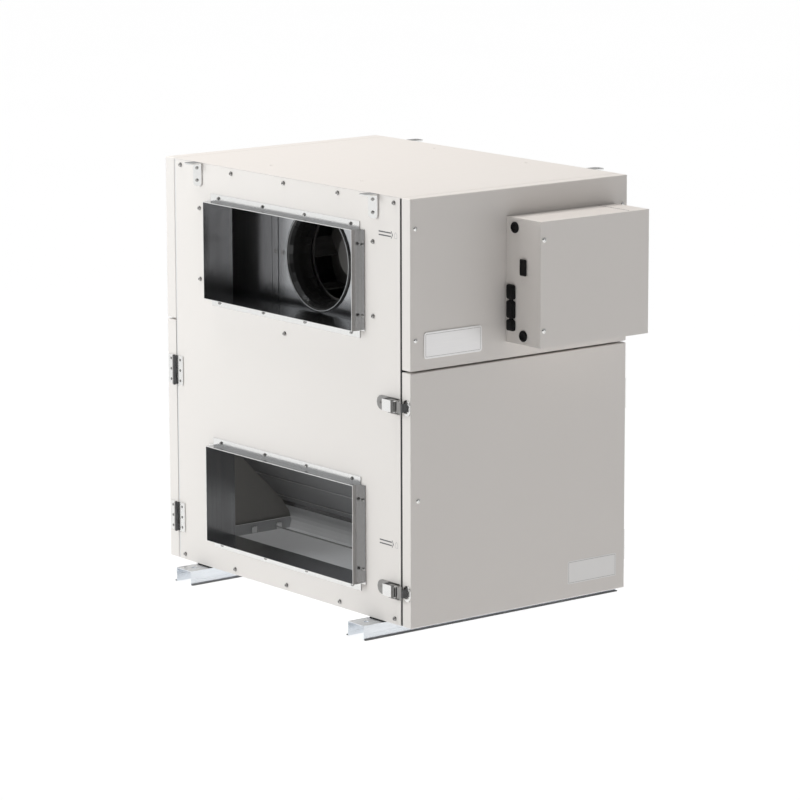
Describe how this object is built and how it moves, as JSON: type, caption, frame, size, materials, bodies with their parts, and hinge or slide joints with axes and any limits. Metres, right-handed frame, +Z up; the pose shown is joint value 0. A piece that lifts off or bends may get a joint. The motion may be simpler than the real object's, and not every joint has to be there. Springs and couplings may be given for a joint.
{
  "type": "heat recovery ventilator",
  "caption": "Floor standing heat recovery ventilator: insulated cabinet, flanged rectangular duct ports at both ends, latched service doors, control box and floor rails.",
  "frame": {"origin": "centre of the bounding box in plan, on the floor under the rails", "axes": "+Z up, the control box and the front door face -Y, the duct end shown in the picture faces -X"},
  "size_m": [0.668, 0.9406, 0.896],
  "materials": {
    "painted_steel": "light warm grey powder coat",
    "galvanized_steel": "galvanized sheet",
    "bright_steel": "bright zinc plated steel",
    "aluminium_core": "plain aluminium plates",
    "seal_rubber": "black closed cell seal",
    "black_plastic": "black moulded plastic",
    "silver_plate": "silver plate, blank"
  },
  "bodies": {
    "cabinet": {"back_upper_panel": "painted_steel", "base_panel": "painted_steel", "cable_grommet_lower": "black_plastic", "cable_grommet_upper": "black_plastic", "control_box": "painted_steel", "control_box_cover": "painted_steel", "duct_collar_left_lower": "galvanized_steel", "duct_collar_left_upper": "galvanized_steel", "duct_collar_right_lower": "galvanized_steel", "duct_collar_right_upper": "galvanized_steel", "end_panel_left": "painted_steel", "end_panel_right": "painted_steel", "exchanger_core": "aluminium_core", "fan_deck": "galvanized_steel", "fan_frame_left": "galvanized_steel", "fan_frame_right": "galvanized_steel", "floor_rail_back": "galvanized_steel", "floor_rail_front": "galvanized_steel", "front_upper_panel": "painted_steel", "hanging_bracket_left_far": "bright_steel", "hanging_bracket_left_near": "bright_steel", "hanging_bracket_right_far": "bright_steel", "hanging_bracket_right_near": "bright_steel", "hinge_back_lower_fixed_leaf": "bright_steel", "hinge_back_upper_fixed_leaf": "bright_steel", "hinge_front_lower_fixed_leaf": "bright_steel", "hinge_front_upper_fixed_leaf": "bright_steel", "inlet_ring_left": "black_plastic", "inlet_ring_right": "black_plastic", "latch_back_lower_base": "bright_steel", "latch_back_upper_base": "bright_steel", "latch_front_lower_base": "bright_steel", "latch_front_upper_base": "bright_steel", "name_plate": "silver_plate", "seal_back": "seal_rubber", "seal_front": "seal_rubber", "signal_socket": "black_plastic", "terminal_strip": "black_plastic", "top_panel": "painted_steel"},
    "front_door": {"front_door": "painted_steel", "hinge_front_lower_door_leaf": "bright_steel", "hinge_front_upper_door_leaf": "bright_steel", "latch_front_lower_keeper": "bright_steel", "latch_front_upper_keeper": "bright_steel"},
    "latch_front_upper_lever": {"latch_front_upper_lever": "bright_steel"},
    "latch_front_upper_hook": {"latch_front_upper_hook": "bright_steel"},
    "latch_front_lower_lever": {"latch_front_lower_lever": "bright_steel"},
    "latch_front_lower_hook": {"latch_front_lower_hook": "bright_steel"},
    "back_door": {"back_door": "painted_steel", "hinge_back_lower_door_leaf": "bright_steel", "hinge_back_upper_door_leaf": "bright_steel", "latch_back_lower_keeper": "bright_steel", "latch_back_upper_keeper": "bright_steel"},
    "latch_back_upper_lever": {"latch_back_upper_lever": "bright_steel"},
    "latch_back_upper_hook": {"latch_back_upper_hook": "bright_steel"},
    "latch_back_lower_lever": {"latch_back_lower_lever": "bright_steel"},
    "latch_back_lower_hook": {"latch_back_lower_hook": "bright_steel"},
    "fan_wheel_left": {"fan_wheel_left": "black_plastic"},
    "fan_wheel_right": {"fan_wheel_right": "black_plastic"}
  },
  "joints": [
    {"name": "front_door_hinge", "type": "hinge", "parent": "cabinet", "child": "front_door", "pos_m": [0.2869, -0.33825, 0.2905], "axis": [0, 0, 1], "range_deg": [0, 165]},
    {"name": "latch_front_upper_lever_pivot", "type": "hinge", "parent": "cabinet", "child": "latch_front_upper_lever", "pos_m": [-0.2898, -0.32275, 0.479], "axis": [0, 0, 1], "range_deg": [0, 120]},
    {"name": "latch_front_upper_hook_pivot", "type": "hinge", "parent": "latch_front_upper_lever", "child": "latch_front_upper_hook", "pos_m": [-0.2918, -0.30975, 0.479], "axis": [0, 0, 1], "range_deg": [-120, 0]},
    {"name": "latch_front_lower_lever_pivot", "type": "hinge", "parent": "cabinet", "child": "latch_front_lower_lever", "pos_m": [-0.2898, -0.32275, 0.102], "axis": [0, 0, 1], "range_deg": [0, 120]},
    {"name": "latch_front_lower_hook_pivot", "type": "hinge", "parent": "latch_front_lower_lever", "child": "latch_front_lower_hook", "pos_m": [-0.2918, -0.30975, 0.102], "axis": [0, 0, 1], "range_deg": [-120, 0]},
    {"name": "back_door_hinge", "type": "hinge", "parent": "cabinet", "child": "back_door", "pos_m": [-0.2869, 0.44075, 0.2905], "axis": [0, 0, 1], "range_deg": [0, 165]},
    {"name": "latch_back_upper_lever_pivot", "type": "hinge", "parent": "cabinet", "child": "latch_back_upper_lever", "pos_m": [0.2898, 0.42525, 0.479], "axis": [0, 0, 1], "range_deg": [0, 120]},
    {"name": "latch_back_upper_hook_pivot", "type": "hinge", "parent": "latch_back_upper_lever", "child": "latch_back_upper_hook", "pos_m": [0.2918, 0.41225, 0.479], "axis": [0, 0, 1], "range_deg": [-120, 0]},
    {"name": "latch_back_lower_lever_pivot", "type": "hinge", "parent": "cabinet", "child": "latch_back_lower_lever", "pos_m": [0.2898, 0.42525, 0.102], "axis": [0, 0, 1], "range_deg": [0, 120]},
    {"name": "latch_back_lower_hook_pivot", "type": "hinge", "parent": "latch_back_lower_lever", "child": "latch_back_lower_hook", "pos_m": [0.2918, 0.41225, 0.102], "axis": [0, 0, 1], "range_deg": [-120, 0]},
    {"name": "fan_wheel_left_spin", "type": "hinge", "parent": "cabinet", "child": "fan_wheel_left", "pos_m": [-0.194, 0.05125, 0.717], "axis": [1, 0, 0], "continuous": true},
    {"name": "fan_wheel_right_spin", "type": "hinge", "parent": "cabinet", "child": "fan_wheel_right", "pos_m": [0.194, 0.05125, 0.717], "axis": [1, 0, 0], "continuous": true}
  ],
  "couplings": [
    {"joint": "latch_front_upper_hook_pivot", "follows": "latch_front_upper_lever_pivot", "ratio": -1},
    {"joint": "latch_front_lower_hook_pivot", "follows": "latch_front_lower_lever_pivot", "ratio": -1},
    {"joint": "latch_back_upper_hook_pivot", "follows": "latch_back_upper_lever_pivot", "ratio": -1},
    {"joint": "latch_back_lower_hook_pivot", "follows": "latch_back_lower_lever_pivot", "ratio": -1}
  ]
}
